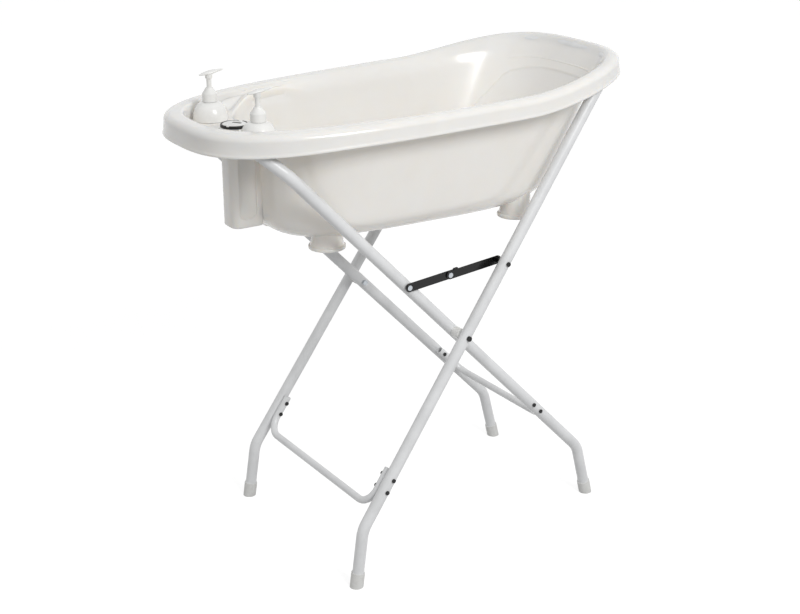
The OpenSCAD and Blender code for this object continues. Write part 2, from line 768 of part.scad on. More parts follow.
module short_link(side) {
    stop_t = 2;
    color("black")
    on_brace(side, brace_low, short_y)
        difference() {
            union() {
                link_plate(knuckle_l + stop_reach - link_w / 2);
                translate([knuckle_l + stop_reach - 10, -link_w / 2 - seat_gap - stop_t, 0])
                    cube([10, stop_t, 2 * link_t + 0.2]);
                translate([knuckle_l + stop_reach - 10, -link_w / 2 - seat_gap - 0.5, 0])
                    cube([10, 1, link_t]);
            }
            translate([0, 0, -over]) cylinder(h = link_t + 2 * over, d = rivet_d + 2 * running);
            translate([knuckle_l, 0, -over])
                cylinder(h = link_t + 2 * over, d = rivet_d + 2 * running);
        }
}

module long_link(side) {
    long_l = brace_l - knuckle_l;
    color("black")
    on_brace(side, knuckle, long_y)
        difference() {
            link_plate(long_l);
            for (x = [0, long_l])
                translate([x, 0, -over])
                    cylinder(h = link_t + 2 * over, d = rivet_d + 2 * running);
        }
}

module brace_rivet(side) {
    color("silver")
    side_pin(brace_low, side, inner_y - tube_r - touch, short_y + link_t + 0.2,
        rivet_d, rivet_head_d, rivet_head_t, rivet_head_t);
}

module knuckle_rivet(side) {
    color("silver")
    side_pin(knuckle, side, short_y - 0.2, long_y + link_t + 0.2,
        rivet_d, rivet_head_d, rivet_head_t, rivet_head_t);
}

// The head of the brace's bolt on the far side of the outer leg, with the bolt inside the leg
module brace_head(side) {
    color("black")
    side_pin(brace_high, side, brace_high.y - tube_r + 0.8, brace_high.y + tube_r + 2 * touch,
        rivet_d, rivet_d + 4, 2.5, 0);
}

module brace_bolt(side) {
    bush_start = long_y + link_t + 0.2;
    color("black") {
        side_pin(brace_high, side, long_y - 0.2, bush_start, rivet_d, rivet_head_d, 0,
            rivet_head_t);
        side_pin(brace_high, side, bush_start, bush_end, bush_d, bush_d, 0, 0);
    }
}

bath_tub();
well_lid();
lid_seal();
dispenser_bottle(front);  // front_dispenser_bottle
dispenser_collar(front);  // front_dispenser_collar
pump_chamber(front);  // front_pump_chamber
pump_head(front);  // front_pump_head
dispenser_bottle(rear);  // rear_dispenser_bottle
dispenser_collar(rear);  // rear_dispenser_collar
pump_chamber(rear);  // rear_pump_chamber
pump_head(rear);  // rear_pump_head
inner_frame_tube();
inner_crossbar();
inner_crossbar_screws();
inner_foot_cap(front);  // front_inner_foot_cap
inner_foot_cap(rear);  // rear_inner_foot_cap
brace_rivet(front);  // front_brace_rivet
brace_rivet(rear);  // rear_brace_rivet
outer_frame_tube();
outer_crossbar();
outer_crossbar_screws();
outer_foot_cap(front);  // front_outer_foot_cap
outer_foot_cap(rear);  // rear_outer_foot_cap
pivot_bolt(front);  // front_pivot_bolt
pivot_bolt(rear);  // rear_pivot_bolt
pivot_spacer(front);  // front_pivot_spacer
pivot_spacer(rear);  // rear_pivot_spacer
pivot_nut(front);  // front_pivot_nut
pivot_nut(rear);  // rear_pivot_nut
short_link(front);  // front_short_link
short_link(rear);  // rear_short_link
knuckle_rivet(front);  // front_knuckle_rivet
knuckle_rivet(rear);  // rear_knuckle_rivet
long_link(front);  // front_long_link
long_link(rear);  // rear_long_link
brace_bolt(front);  // front_brace_bolt
brace_bolt(rear);  // rear_brace_bolt
brace_head(front);  // front_brace_head
brace_head(rear);  // rear_brace_head
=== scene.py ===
"""A baby bath tub on a folding cross-leg stand, dressed for rendering.

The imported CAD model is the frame. Each sub-assembly is a class that works out its surfaces
with numpy, in millimetres, and dresses them. +X is the head end, -Y the front, +Z up, and the
origin is on the floor under the middle of the tub.
"""

import logging
import math
from dataclasses import dataclass
from enum import Enum
from typing import Any, Sequence

import bpy
import numpy as np
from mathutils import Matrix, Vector


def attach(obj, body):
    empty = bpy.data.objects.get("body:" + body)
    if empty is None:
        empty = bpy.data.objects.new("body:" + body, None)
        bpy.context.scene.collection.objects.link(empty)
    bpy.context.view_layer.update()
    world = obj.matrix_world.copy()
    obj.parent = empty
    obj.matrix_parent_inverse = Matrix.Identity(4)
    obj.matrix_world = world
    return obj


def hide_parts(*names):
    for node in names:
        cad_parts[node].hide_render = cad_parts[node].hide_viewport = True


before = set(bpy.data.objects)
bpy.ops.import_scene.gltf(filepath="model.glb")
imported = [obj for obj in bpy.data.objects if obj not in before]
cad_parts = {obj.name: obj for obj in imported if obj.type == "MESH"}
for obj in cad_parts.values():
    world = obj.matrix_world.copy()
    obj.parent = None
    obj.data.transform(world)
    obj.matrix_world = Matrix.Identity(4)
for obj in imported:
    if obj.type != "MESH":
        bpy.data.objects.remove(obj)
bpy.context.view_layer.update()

log = logging.getLogger("bath_stand")
MM = 0.001
Points = np.ndarray
Socket = bpy.types.NodeSocket


class Side(Enum):
    """A long side of the stand, by the sign of its y."""

    FRONT = -1
    REAR = 1

    @property
    def word(self) -> str:
        """The side's word in the names of pieces."""
        return self.name.lower()


# ---------------------------------------------------------------- small helpers


def linear(hex_colour: str) -> tuple[float, float, float, float]:
    """Turns an sRGB hex colour to linear light.

    Args:
        hex_colour: six hex digits, such as "F2EFE8".

    Returns:
        Red, green, blue and an alpha of 1.
    """
    channels = [int(hex_colour[i:i + 2], 16) / 255 for i in (0, 2, 4)]
    bright = [c / 12.92 if c <= 0.04045 else ((c + 0.055) / 1.055) ** 2.4 for c in channels]
    return (bright[0], bright[1], bright[2], 1.0)


def add_node(tree: bpy.types.NodeTree, kind: str, inputs: dict[Any, Any] | None = None,
             **settings: Any) -> bpy.types.Node:
    """Adds a node with its settings, and sets or links its inputs.

    Args:
        tree: the material's node tree.
        kind: the node's type name, after "ShaderNode".
        inputs: values or output sockets, by the input's name or number.
        settings: the node's own properties.

    Returns:
        The new node.
    """
    node = tree.nodes.new("ShaderNode" + kind)
    for name, value in settings.items():
        setattr(node, name, value)
    for name, value in (inputs or {}).items():
        if isinstance(value, Socket):
            tree.links.new(value, node.inputs[name])
        else:
            node.inputs[name].default_value = value
    return node


def emptied(owner: bpy.types.Material | bpy.types.World) -> bpy.types.NodeTree:
    """A material's or world's node tree, with nothing in it."""
    owner.use_nodes = True
    owner.node_tree.nodes.clear()
    return owner.node_tree


def linked(name: str, data: bpy.types.ID) -> bpy.types.Object:
    """A new object in the scene."""
    made = bpy.data.objects.new(name, data)
    bpy.context.scene.collection.objects.link(made)
    return made


def smooth(t: Points) -> Points:
    """Eases t from 0 to 1: t squared times (3 - 2t), held at 0 and 1 outside."""
    u = np.clip(t, 0.0, 1.0)
    return u * u * (3 - 2 * u)


def bulge(c: Points, power: float) -> Points:
    """A cosine or sine squared off: its sign times its size to the power of 2 over power."""
    return np.sign(c) * np.abs(c) ** (2 / power)


def unit(v: Points) -> Points:
    """Each vector over its own length."""
    return v / np.maximum(np.linalg.norm(v, axis=-1, keepdims=True), 1e-9)


def arc(first: float, last: float, count: int) -> Points:
    """As many angles, in radians, evenly from first to last, in degrees."""
    return np.radians(np.linspace(first, last, count))


def flat_ring(xy: Points, z: float) -> Points:
    """Points (x, y) laid at one height."""
    return np.column_stack([xy, np.full(len(xy), z)])


# ---------------------------------------------------------------- meshes


@dataclass
class Surface:
    """A mesh in the making: points in millimetres, and faces as lists of point numbers."""

    points: Points
    faces: list[list[int]]

    def moved(self, matrix: Points, origin: Points) -> "Surface":
        """The surface with its axes turned to matrix's columns and its zero at origin."""
        return Surface(self.points @ np.asarray(matrix, float).T + np.asarray(origin, float),
                       self.faces)

    def at(self, x: float, y: float, z: float) -> "Surface":
        """The surface moved to a place, unturned."""
        return self.moved(np.eye(3), [x, y, z])

    def reversed(self) -> "Surface":
        """The surface with its faces turned the other way."""
        return Surface(self.points, [face[::-1] for face in self.faces])


def loft(rings: Sequence[Points] | Points, poles: bool = True) -> Surface:
    """Skins closed rings of points in order, and closes both ends on their middles.

    Point (i, j) is the j-th point of ring i; faces join ring i to ring i + 1. Rings that run
    anticlockwise seen from above and rise give faces that point outwards.

    Args:
        rings: rings with the same number of points each.
        poles: whether the first and last rings are closed.

    Returns:
        The skin.
    """
    grid = np.stack([np.asarray(r, float) for r in rings])
    rows, cols = grid.shape[:2]
    points = grid.reshape(-1, 3)
    i = np.arange(rows - 1)[:, None] * cols
    j = np.arange(cols)[None, :]
    k = (j + 1) % cols
    faces = np.stack([i + j, i + k, i + cols + k, i + cols + j], -1).reshape(-1, 4).tolist()
    if not poles:
        return Surface(points, faces)
    j, k, last, pole = j[0], k[0], (rows - 1) * cols, rows * cols
    faces += np.stack([k, j, np.full(cols, pole)], -1).tolist()
    faces += np.stack([last + j, last + k, np.full(cols, pole + 1)], -1).tolist()
    return Surface(np.concatenate([points, grid[0].mean(0)[None], grid[-1].mean(0)[None]]), faces)


def lathe(profile: Sequence[tuple[float, float]], around: int = 64) -> Surface:
    """Turns a half outline round the z axis.

    The point at angle a of profile point (r, z) is (r cos a, r sin a, z). The first and last
    profile points lie on the axis and become poles.

    Args:
        profile: (radius, height) pairs, from the lowest up the outside to the highest.
        around: points round the axis.

    Returns:
        A closed surface.
    """
    rz = np.array(profile, float)
    a = np.linspace(0, 2 * np.pi, around, endpoint=False)
    inner = rz[1:-1]
    rings = np.stack([inner[:, :1] * np.cos(a), inner[:, :1] * np.sin(a),
                      np.repeat(inner[:, 1:], around, 1)], -1)
    made = loft(rings)
    made.points[-2, 2], made.points[-1, 2] = rz[0, 1], rz[-1, 1]
    return made


def rounded(outline: Sequence[tuple[float, float]], radii: Sequence[float],
            steps: int = 5) -> list[tuple[float, float]]:
    """Rounds the corners of an open outline.

    Each inner corner becomes a quadratic curve that starts and ends its radius away from it.

    Args:
        outline: the outline's corner points.
        radii: a rounding length for each point; those of the two ends aren't used.
        steps: points to a corner.

    Returns:
        The rounded outline.
    """
    p = np.array(outline, float)
    t = np.linspace(0, 1, steps)[:, None]
    made = [p[:1]]
    for i in range(1, len(p) - 1):
        if radii[i] <= 0:
            made.append(p[i:i + 1])
            continue
        before = p[i] + unit(p[i - 1] - p[i]) * radii[i]
        after = p[i] + unit(p[i + 1] - p[i]) * radii[i]
        made.append((1 - t) ** 2 * before + 2 * t * (1 - t) * p[i] + t ** 2 * after)
    made.append(p[-1:])
    return [tuple(q) for q in np.concatenate(made)]


def to_mesh(surface: Surface, name: str) -> bpy.types.Mesh:
    """Puts a surface into a mesh, in metres."""
    mesh = bpy.data.meshes.new(name)
    mesh.from_pydata((surface.points * MM).tolist(), [], surface.faces)
    mesh.validate()
    return mesh


def combined(base: Surface, joins: Sequence[Surface], cuts: Sequence[Surface],
             name: str) -> bpy.types.Mesh:
    """Joins solids to a base and then cuts others out of it.

    Args:
        base: the first solid.
        joins: the solids to add.
        cuts: the solids to take away.
        name: the mesh's name.

    Returns:
        The mesh of what is left.
    """
    target = linked(name, to_mesh(base, name))
    tools = []
    for operation, solids in (("UNION", joins), ("DIFFERENCE", cuts)):
        for number, solid in enumerate(solids):
            word = f"{name}_{operation.lower()}_{number}"
            tool = linked(word, to_mesh(solid, word))
            tools.append(tool)
            modifier = target.modifiers.new(tool.name, "BOOLEAN")
            modifier.operation, modifier.solver, modifier.object = operation, "EXACT", tool
    graph = bpy.context.evaluated_depsgraph_get()
    mesh = bpy.data.meshes.new_from_object(target.evaluated_get(graph))
    for passing in [*tools, target]:
        bpy.data.objects.remove(passing)
    return mesh


def surface_of(mesh: bpy.types.Mesh) -> Surface:
    """The surface of a mesh, in millimetres."""
    points = np.empty(len(mesh.vertices) * 3, dtype=np.float32)
    mesh.vertices.foreach_get("co", points)
    return Surface(points.reshape(-1, 3) / MM, [list(face.vertices) for face in mesh.polygons])


def piece(name: str, shape: Surface | bpy.types.Mesh, material: bpy.types.Material, body: str,
          replaced: Sequence[str] = (), crease: float = 32.0) -> bpy.types.Object:
    """Makes a finished piece: smooth shaded, dressed, riding on its body.

    Args:
        name: the piece's name.
        shape: its surface, or its mesh in metres.
        material: its finish.
        body: the CAD body that it moves with.
        replaced: the CAD nodes that it stands for.
        crease: edges that turn by more degrees than this stay sharp.

    Returns:
        The piece.
    """
    mesh = shape if isinstance(shape, bpy.types.Mesh) else to_mesh(shape, name)
    mesh.name = name
    mesh.materials.clear()
    mesh.materials.append(material)
    mesh.shade_smooth()
    mesh.set_sharp_from_angle(angle=math.radians(crease))
    made = linked(name, mesh)
    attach(made, body)
    if replaced:
        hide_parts(*replaced)
    log.info("%s: %d faces, on %s", name, len(mesh.polygons), body)
    return made


def dress(node: str, material: bpy.types.Material) -> None:
    """Gives a CAD node that stays as it is a better material."""
    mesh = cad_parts[node].data
    mesh.materials.clear()
    mesh.materials.append(material)
    log.info("%s: dressed in %s", node, material.name)


# ---------------------------------------------------------------- finishes


class Recipe:
    """A material in the making, whose textures lie in the object's own coordinates."""

    def __init__(self, name: str) -> None:
        """Starts an empty material."""
        self.material = bpy.data.materials.new(name)
        self.tree = emptied(self.material)
        self.place = add_node(self.tree, "TexCoord").outputs["Object"]

    def noise(self, size_mm: float, **inputs: float) -> Socket:
        """A noise whose marks are about size_mm across."""
        return add_node(self.tree, "TexNoise", {
            "Vector": self.place, "Scale": 1 / (size_mm * MM), **inputs}).outputs["Fac"]

    def tint(self, value: Socket, low: tuple[float, str], high: tuple[float, str]) -> Socket:
        """A colour that runs from low's to high's as value goes from low's number to high's."""
        ramp = add_node(self.tree, "ValToRGB", {"Fac": value})
        for element, (position, colour) in zip(ramp.color_ramp.elements, (low, high)):
            element.position, element.color = position, linear(colour)
        return ramp.outputs["Color"]

    def gloss(self, value: Socket, low: tuple[float, float], high: tuple[float, float]) -> Socket:
        """A roughness that runs from low's to high's as value goes from low's number to high's."""
        return add_node(self.tree, "MapRange", {
            "Value": value, "From Min": low[0], "From Max": high[0],
            "To Min": low[1], "To Max": high[1]}).outputs["Result"]

    def relief(self, height: Socket, strength: float, depth: float,
               under: Socket | None = None) -> Socket:
        """A relief of depth metres, laid over another where one is given."""
        inputs = {"Height": height, "Strength": strength, "Distance": depth}
        if under is not None:
            inputs["Normal"] = under
        return add_node(self.tree, "Bump", inputs).outputs["Normal"]

    def finished(self, inputs: dict[str, Any]) -> bpy.types.Material:
        """The material, with its shader's inputs set or linked."""
        shader = add_node(self.tree, "BsdfPrincipled", inputs)
        add_node(self.tree, "OutputMaterial", {"Surface": shader.outputs["BSDF"]})
        return self.material


@dataclass(frozen=True)
class Finish:
    """What every finish has: a name, its colour, a second colour where it differs, and a gloss."""

    name: str
    colour: str
    second: str
    roughness: float


@dataclass(frozen=True)
class MouldedPlastic(Finish):
    """Injection-moulded polypropylene: a soft gloss, faint cloudy flow marks in the colour, and
    walls that sink and swell a little, so that long highlights waver."""

    flow_mm: float = 90.0
    sink_mm: float = 45.0
    sink_depth: float = 0.0001
    glow: float = 0.0

    def material(self) -> bpy.types.Material:
        """Builds the finish."""
        made = Recipe(self.name)
        # Flow marks are the width of a hand on the tub, and narrower on small mouldings.
        flow = made.noise(self.flow_mm, Detail=3.0, Roughness=0.55, Distortion=0.6)
        # Handling leaves the gloss uneven over a finger's width.
        wear = made.noise(14, Detail=4.0, Roughness=0.6)
        # The wall sinks and swells by a tenth of a millimetre, or half that on small mouldings.
        slow = made.relief(made.noise(self.sink_mm, Detail=1.0), 0.6, self.sink_depth)
        # The mould's grain is 0.2 mm; it is drawn 2.4 mm wide, so that it shows.
        fine = made.relief(made.noise(2.4, Detail=2.0), 0.5, 0.000002, slow)
        return made.finished({
            "Base Color": made.tint(flow, (0.3, self.second), (0.72, self.colour)),
            "Roughness": made.gloss(wear, (0.3, self.roughness - 0.04),
                                    (0.7, self.roughness + 0.06)),
            "IOR": 1.49, "Coat Weight": 0.3, "Coat Roughness": 0.09,
            # Light goes about a centimetre into the plastic, red the furthest.
            "Subsurface Weight": self.glow, "Subsurface Radius": (1.0, 0.85, 0.68),
            "Subsurface Scale": 0.012, "Normal": fine})


@dataclass(frozen=True)
class PowderCoat(Finish):
    """Polyester powder baked onto steel tube: an even satin gloss over fine orange peel, a little
    greyer where hands and floors rub it."""

    def material(self) -> bpy.types.Material:
        """Builds the finish."""
        made = Recipe(self.name)
        # Rubbed stretches are some 60 mm long.
        rub = made.noise(60, Detail=5.0, Roughness=0.62)
        # Orange peel is 1.5 mm from crest to crest; it is drawn at 3 mm, so that it shows.
        peel = made.relief(made.noise(3, Detail=1.0), 0.5, 0.00003)
        return made.finished({
            "Base Color": made.tint(rub, (0.28, self.second), (0.6, self.colour)),
            "Roughness": made.gloss(rub, (0.3, self.roughness + 0.07), (0.7, self.roughness)),
            "IOR": 1.52, "Coat Weight": 0.25, "Coat Roughness": 0.18, "Normal": peel})


@dataclass(frozen=True)
class PlatedSteel(Finish):
    """Zinc-plated steel: a bright, slightly blue metal with the spangle of the plating bath."""

    def material(self) -> bpy.types.Material:
        """Builds the finish."""
        made = Recipe(self.name)
        # Spangles are 1 to 2 mm across.
        cells = add_node(made.tree, "TexVoronoi", {
            "Vector": made.place, "Scale": 1 / (1.6 * MM)}).outputs["Distance"]
        # Scuffs from the tools are just under a millimetre.
        scuff = made.noise(0.9, Detail=3.0)
        return made.finished({
            "Base Color": made.tint(cells, (0.0, self.colour), (1.0, self.second)),
            "Metallic": 1.0,
            "Roughness": made.gloss(scuff, (0.3, self.roughness), (0.7, self.roughness + 0.14)),
            "Normal": made.relief(scuff, 0.4, 0.00003)})


@dataclass(frozen=True)
class StovedEnamel(Finish):
    """Black stoving enamel on pressed steel: a deep gloss, greyer and duller where scuffed."""

    def material(self) -> bpy.types.Material:
        """Builds the finish."""
        made = Recipe(self.name)
        # Scuffs from folding are 4 to 8 mm long.
        scuff = made.noise(6, Detail=5.0, Roughness=0.65)
        # The enamel's skin waves every 2.5 mm.
        skin = made.relief(made.noise(2.5), 0.4, 0.00003)
        return made.finished({
            "Base Color": made.tint(scuff, (0.55, self.colour), (0.85, self.second)),
            "Roughness": made.gloss(scuff, (0.4, self.roughness), (0.75, self.roughness + 0.16)),
            "IOR": 1.5, "Specular IOR Level": 0.3, "Coat Weight": 0.15, "Coat Roughness": 0.08,
            "Normal": skin})


@dataclass(frozen=True)
class SoftRubber(Finish):
    """Moulded thermoplastic rubber: matt, faintly dusty, with a fine spark-eroded grain."""

    def material(self) -> bpy.types.Material:
        """Builds the finish."""
        made = Recipe(self.name)
        # Dust gathers in patches 9 mm across.
        dust = made.noise(9, Detail=5.0, Roughness=0.7)
        # The grain is 0.3 mm; it is drawn 0.8 mm wide.
        grain = made.relief(made.noise(0.8, Detail=2.0), 0.5, 0.00005)
        return made.finished({
            "Base Color": made.tint(dust, (0.35, self.colour), (0.75, self.second)),
            "Roughness": made.gloss(dust, (0.3, self.roughness), (0.7, self.roughness + 0.15)),
            "IOR": 1.5, "Normal": grain})


class Finishes:
    """Every finish on the stand, built once."""

    def __init__(self) -> None:
        """Builds the materials."""
        self.tub = MouldedPlastic("Moulded_polypropylene_ivory", "F2EFEA", "F0ECE6", 0.2,
                                  glow=0.5).material()
        self.white = MouldedPlastic("Moulded_polypropylene_white", "EFEFED", "E8E8E6", 0.24,
                                    flow_mm=30, sink_mm=18, sink_depth=0.00005).material()
        self.clear = MouldedPlastic("Natural_polypropylene", "DFE3E4", "D4D9DB", 0.3,
                                    flow_mm=12, sink_mm=10, sink_depth=0.00005).material()
        self.seal = SoftRubber("Black_seal_rubber", "131314", "1E1E20", 0.42).material()
        self.powder = PowderCoat("White_powder_coat", "E6E7E8", "DBDCDD", 0.3).material()
        self.caps = SoftRubber("White_foot_rubber", "E6E6E4", "DADAD7", 0.5).material()
        self.zinc = PlatedSteel("Zinc_plated_steel", "C9CDD1", "AEB4BA", 0.26).material()
        self.enamel = StovedEnamel("Black_stoving_enamel", "050506", "121213", 0.14).material()


# ---------------------------------------------------------------- tub


@dataclass
class BathTub:
    """The moulded tub: rolled rim, sloping walls, foot-end shelf with two wells, hollow column
    and four feet. Sizes are in millimetres."""

    finishes: Finishes
    half_l: float = 495.0
    half_w: float = 254.0
    taper: float = 18.0
    rim_h: float = 982.0
    rim_slope: float = 0.0242
    head_rise: float = 40.0
    rise_start: float = 148.0
    rise_past: float = 22.0
    lip_h: float = 38.0
    foot_hang: float = 5.0
    hang_start: float = -200.0
    hang_run: float = 240.0
    skin: float = 3.5
    rim_top_w: float = 38.0
    shelf_drop: float = 31.5
    shelf_start: float = -240.0
    shelf_run: float = 80.0
    side_drop: float = 10.0
    wall_drop: float = 12.0
    base_h: float = 731.0
    base_r: float = 45.0
    foot_power: float = 2.96
    head_power: float = 3.11
    body_power: float = 3.5
    wall_top: float = 0.88
    base_foot: float = 337.0
    base_head: float = 308.0
    base_half_w: float = 176.0
    body_foot: float = 345.0
    well_x: float = -379.0
    well_y: float = 102.0
    well_d: float = 43.0
    well_depth: float = 30.0
    dome_d: float = 70.0
    mouth_x: float = -378.0
    mouth_d: float = 40.0
    lid_seat_d: float = 57.0
    lid_rise: float = 7.0
    column_face: float = 402.0
    column_w: float = 56.0
    column_base_h: float = 748.0
    channel_x: float = -369.0
    channel_r: float = 19.0
    channel_top: float = 918.0
    channel_low: float = 778.0
    press_depth: float = 2.2
    press_step: float = 7.0
    foot_h: float = 703.0
    foot_d: float = 68.0
    foot_places: tuple[tuple[float, float], ...] = ((-232.0, 98.0), (214.0, 132.0))
    columns: int = 480
    corner_rings: int = 12

    def __post_init__(self) -> None:
        """Spreads the columns evenly round the lip."""
        quarter = self.columns // 4
        parts = []
        for k in range(4):
            a = np.linspace(k * np.pi / 2, (k + 1) * np.pi / 2, 4001)
            xy = self.plan(a, self.half_l, self.half_l, self.half_w, self.foot_power)
            run = np.concatenate([[0], np.cumsum(np.hypot(*np.diff(xy, axis=0).T))])
            parts.append(np.interp(np.arange(quarter) / quarter * run[-1], run, a))
        self.angles = np.concatenate(parts)
        lean = 1.2  # The seats are level and stand just proud of the sloping shelf.
        self.seat_z = float(self.rim_z(np.array(self.well_x))) - self.shelf_drop + lean

    # ---- outlines, as in the CAD
    def rim_z(self, x: Points) -> Points:
        """The rim's height at x: a straight slope and an eased rise at the head end."""
        run = self.half_l + self.rise_past - self.rise_start
        return (self.rim_h + self.rim_slope * x
                + self.head_rise * smooth((x - self.rise_start) / run))

    def plan(self, a: Points, foot: Points | float, head: Points | float,
             half_w: Points | float, power: float) -> Points:
        """A rounded rectangle's outline (x, y) at the angles a.

        Its x is its end's reach times the squared-off cosine, and its y the half-width, wider
        towards the head, times the squared-off sine.
        """
        c, s = np.cos(a), np.sin(a)
        back = c < -1e-12
        x = np.where(back, foot * bulge(c, power), head * bulge(c, self.head_power))
        wide = half_w + self.taper * x / self.half_l
        return np.stack([x, wide * np.where(back, bulge(s, power), bulge(s, self.head_power))], -1)

    def drop(self, x: Points) -> Points:
        """How far the recess lies under the rim at x: deep at the foot-end shelf."""
        share = smooth((self.shelf_start - x) / self.shelf_run)
        return self.side_drop + (self.shelf_drop - self.side_drop) * share

    def lip_ring(self, grow: float, dz: float, hang: float = 0.0) -> Points:
        """A ring of the lip: grown outwards by grow, dz above the rim, hang lower at the foot."""
        end, half_w = self.half_l + grow, self.half_w + grow
        x, y = self.plan(self.angles, end, end, half_w, self.foot_power).T
        sag = hang * smooth((self.hang_start - x) / self.hang_run)
        return np.stack([x, y, self.rim_z(x) + dz - sag], -1)

    def grow_to(self, f: Points | float, low: float, mid: float, high: float) -> Points:
        """A straight change from low to mid up to the wall's top, then an eased one to high."""
        return (low + (mid - low) * np.minimum(f / self.wall_top, 1)
                + (high - mid) * smooth((f - self.wall_top) / (1 - self.wall_top)))

    def body_plan(self, f: Points | float, inset: Points | float) -> Points:
        """The body's outline (x, y) at share f of its height, drawn in by inset."""
        body_half_w = self.half_w - self.rim_top_w + self.skin
        body_head = self.half_l - self.rim_top_w + self.skin
        foot = self.grow_to(f, self.base_foot, (self.base_foot + self.body_foot) / 2,
                            self.body_foot) - inset
        head = self.grow_to(f, self.base_head, body_head - 15, body_head) - inset
        half_w = self.grow_to(f, self.base_half_w, body_half_w - 12.5, body_half_w) - inset
        return self.plan(self.angles, foot, head, half_w, self.body_power)

    def body_ring(self, f: Points | float, inset: float, base_z: float) -> Points:
        """A ring of the body at share f of the way up from base_z to its walls' top."""
        xy = self.body_plan(f, inset)
        z = base_z + f * (self.rim_z(xy[:, 0]) - self.wall_drop - base_z)
        return np.column_stack([xy, z])

    # ---- the skin
    def bottom_rings(self, inset: float) -> list[Points]:
        """Rings from the bottom's middle out and up its rounded edge, inset into the skin."""
        base_z, corner = self.base_h + inset, self.base_r - inset
        span = self.rim_h - base_z
        flat = self.body_ring(0.0, inset + corner, base_z)
        middle = flat.mean(0)
        rings = [middle + (flat - middle) * s for s in (0.12, 0.3, 0.5, 0.7, 0.86)]
        for t in np.linspace(0, np.pi / 2, self.corner_rings)[:-1]:
            rings.append(self.body_ring(corner * (1 - math.cos(t)) / span,
                                        inset + corner * (1 - math.sin(t)), base_z))
        return rings

    def from_head(self) -> Points:
        """How many degrees each column lies round from the middle of the head end."""
        return np.abs(np.degrees((self.angles + np.pi) % (2 * np.pi) - np.pi))

    def arch_line(self) -> Points:
        """The height of the backrest's arched edge at each column, from its middle down."""
        line_a = [0, 8.4, 19.2, 27.2, 31.5, 34, 36.9, 40.4, 43.4, 48, 54, 62, 90]
        line_z = [966, 964.5, 958, 950, 940, 925, 905, 890, 872, 848, 822, 800, 790]
        return np.interp(self.from_head(), line_a, line_z)

    def inner_wall(self, top_z: Points) -> list[Points]:
        """Rings of the inner wall from top_z down, with the backrest pressed into the head end.

        Rows above and below the backrest's edge follow it, so that the edge is crisp; the wall
        there steps back by the press's depth over 7 mm of height.
        """
        base_z = self.base_h + self.skin
        arch = np.minimum(self.arch_line(), top_z - 12)
        rim = self.rim_z(self.body_plan(self.wall_top, self.skin)[:, 0])
        low_z = base_z + (self.base_r - self.skin)
        foot_z, foot_run, side_a, side_run = 792.0, 60.0, 54.0, 12.0  # where the press fades out
        sides = smooth((side_a - self.from_head()) / side_run)
        heights = [top_z + (arch + 8 - top_z) * s for s in np.linspace(0, 1, 17)[1:-1]]
        heights += [arch + d for d in (8, 5.5, 3.5, 2, 0.5, -1, -2.5, -4.5, -7)]
        heights += [arch - 7 + (low_z - arch + 7) * s for s in np.linspace(0, 1, 20)[1:]]
        made = []
        for z in heights:
            f = np.clip((z - base_z) / (rim - self.wall_drop - base_z), 0, 1)
            xy = self.body_plan(f, self.skin)
            step = np.roll(xy, -1, 0) - np.roll(xy, 1, 0)
            out = unit(np.stack([step[:, 1], -step[:, 0]], -1))
            press = (self.press_depth * smooth((arch + 3 - z) / self.press_step)
                     * smooth((z - foot_z) / foot_run) * sides)
            made.append(np.column_stack([xy + out * press[:, None], z]))
        return made

    def lip_rows(self) -> list[Points]:
        """Rings from the underside of the rim, down inside the lip, round its flared bottom edge
        and up to the rim's flat top."""
        lip, low, hang = self.lip_ring, self.lip_h, self.foot_hang
        rows = [lip(-19, -self.skin), lip(-15, -self.skin), lip(-11, -4.1), lip(-7.4, -6.4),
                lip(-4.7, -10.2), lip(-3.1, -16), lip(-2.2, -24, 0.5 * hang),
                lip(-1.7, 9 - low, hang), lip(-0.6, 2 - low, hang)]
        rows += [lip(1.4 - 2 * math.cos(t), 2 - low - 2 * math.sin(t), hang)
                 for t in np.radians([30, 60, 90, 120, 150])]
        rows += [lip(3.4, 2 - low, hang), lip(3.4, 4 - low, hang), lip(2.5, 5.6 - low, hang),
                 lip(1.9, 9 - low, hang), lip(1.2, -23, 0.4 * hang), lip(0.5, -17)]
        # The rim's outer edge is rounded by some 16 mm.
        rows += [lip(0.3 - 16 * (1 - math.cos(t)), -14 + 14.2 * math.sin(t))
                 for t in arc(0, 90, 12)]
        return rows

    def eased(self, start: Points, level: float, inset: float, base_z: float,
              rows: Sequence[Points], shelf: Points) -> list[Points]:
        """Rings from the rim in to the wall, blended by column from a plain edge to a shelf.

        Along the sides and the head end each ring lies on a quadratic curve that leaves start
        level and meets the wall along its slope. Round the shelf the given rows stand.

        Args:
            start: the ring on the rim where the curve begins, level above the rim's height.
            level: that height.
            inset: how far the wall is drawn in.
            base_z: the height of the wall's base.
            rows: the rings round the shelf, from the rim inwards.
            shelf: for each column, 1 where there is a shelf and 0 where there is none.

        Returns:
            As many rings as rows.
        """
        top = self.body_ring(self.wall_top, inset, base_z)
        rim, below = self.rim_z(top[:, 0]), self.wall_top - 0.04
        lower = np.column_stack([self.body_plan(below, inset),
                                 base_z + below * (rim - self.wall_drop - base_z)])
        reach = (rim + level - top[:, 2]) / (top[:, 2] - lower[:, 2])
        knee = top + (top - lower) * reach[:, None]
        made = []
        for number, row in enumerate(rows):
            t = (number + 1) / (len(rows) + 1)
            curve = (1 - t) ** 2 * start + 2 * t * (1 - t) * knee + t * t * top
            made.append(curve + (row - curve) * shelf[:, None])
        return made

